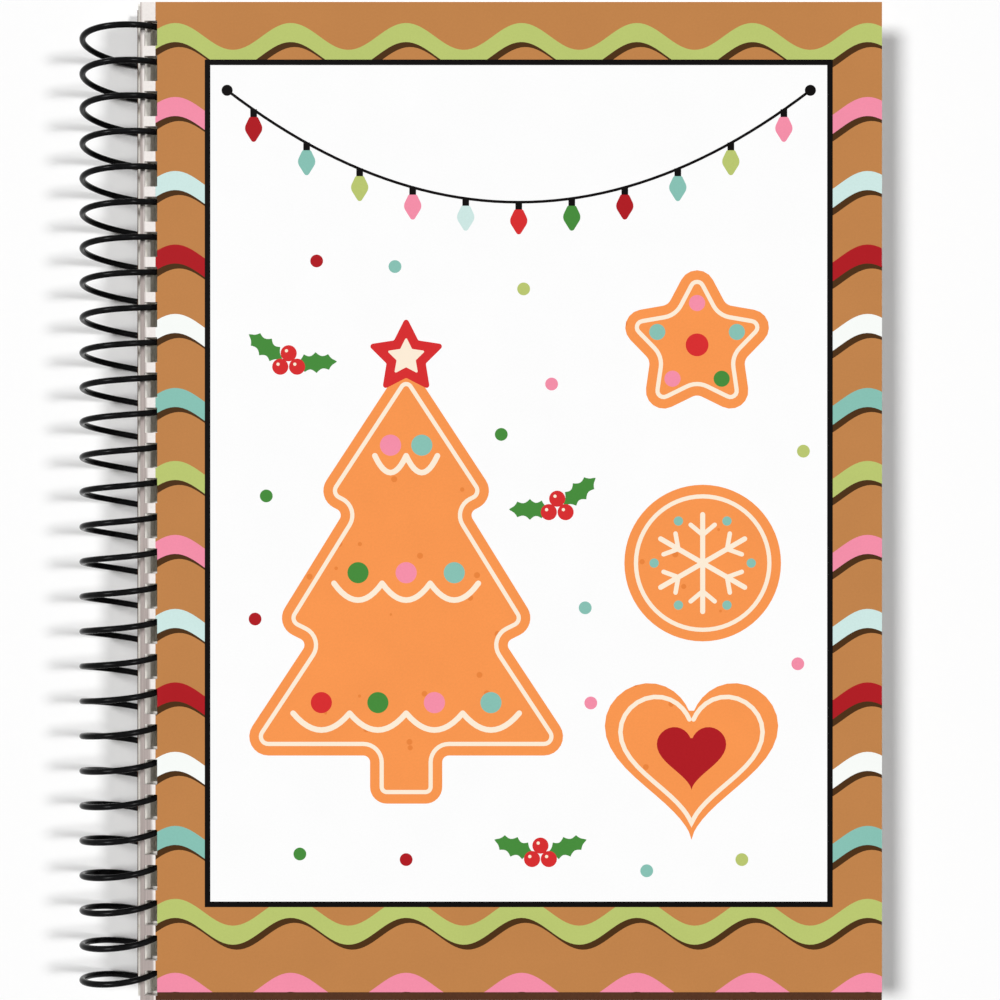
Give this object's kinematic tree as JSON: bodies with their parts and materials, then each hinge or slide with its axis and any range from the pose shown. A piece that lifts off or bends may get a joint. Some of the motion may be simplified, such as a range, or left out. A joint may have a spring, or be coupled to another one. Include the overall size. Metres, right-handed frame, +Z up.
{
  "type": "gift card holder",
  "caption": "Spiral bound book that holds gift cards: printed board covers, card pages with notched pockets, all turning on a wire coil along the spine.",
  "frame": {"origin": "on the table, under the middle of the closed book with its coil", "axes": "+X from the spine to the fore edge, +Y from the tail to the head of the book, +Z up out of the front cover"},
  "size_m": [0.1444, 0.1803, 0.0158],
  "materials": {
    "board": "matte",
    "printed_paper": "satin",
    "coated_wire": "gloss",
    "page_card": "matte",
    "pocket_card": "matte",
    "foam_tape": "matte"
  },
  "bodies": {
    "back": {"back_board": "board", "back_print": "printed_paper", "binding_coil": "coated_wire"},
    "page_6": {"page_6": "page_card", "pocket_tape_6": "foam_tape", "pocket_panel_6": "pocket_card"},
    "page_5": {"page_5": "page_card", "pocket_tape_5": "foam_tape", "pocket_panel_5": "pocket_card"},
    "page_4": {"page_4": "page_card", "pocket_tape_4": "foam_tape", "pocket_panel_4": "pocket_card"},
    "page_3": {"page_3": "page_card", "pocket_tape_3": "foam_tape", "pocket_panel_3": "pocket_card"},
    "page_2": {"page_2": "page_card", "pocket_tape_2": "foam_tape", "pocket_panel_2": "pocket_card"},
    "page_1": {"page_1": "page_card", "pocket_tape_1": "foam_tape", "pocket_panel_1": "pocket_card"},
    "front": {"front_board": "board", "front_print": "printed_paper"}
  },
  "joints": [
    {"name": "page_6_turn", "type": "hinge", "parent": "back", "child": "page_6", "pos_m": [-0.06434, 0, 0.0079], "axis": [0, -1, 0], "range_deg": [0, 180]},
    {"name": "page_5_turn", "type": "hinge", "parent": "page_6", "child": "page_5", "pos_m": [-0.06434, 0, 0.0079], "axis": [0, -1, 0], "range_deg": [0, 180]},
    {"name": "page_4_turn", "type": "hinge", "parent": "page_5", "child": "page_4", "pos_m": [-0.06434, 0, 0.0079], "axis": [0, -1, 0], "range_deg": [0, 180]},
    {"name": "page_3_turn", "type": "hinge", "parent": "page_4", "child": "page_3", "pos_m": [-0.06434, 0, 0.0079], "axis": [0, -1, 0], "range_deg": [0, 180]},
    {"name": "page_2_turn", "type": "hinge", "parent": "page_3", "child": "page_2", "pos_m": [-0.06434, 0, 0.0079], "axis": [0, -1, 0], "range_deg": [0, 180]},
    {"name": "page_1_turn", "type": "hinge", "parent": "page_2", "child": "page_1", "pos_m": [-0.06434, 0, 0.0079], "axis": [0, -1, 0], "range_deg": [0, 180]},
    {"name": "front_cover_turn", "type": "hinge", "parent": "page_1", "child": "front", "pos_m": [-0.06434, 0, 0.0079], "axis": [0, -1, 0], "range_deg": [0, 180]}
  ]
}
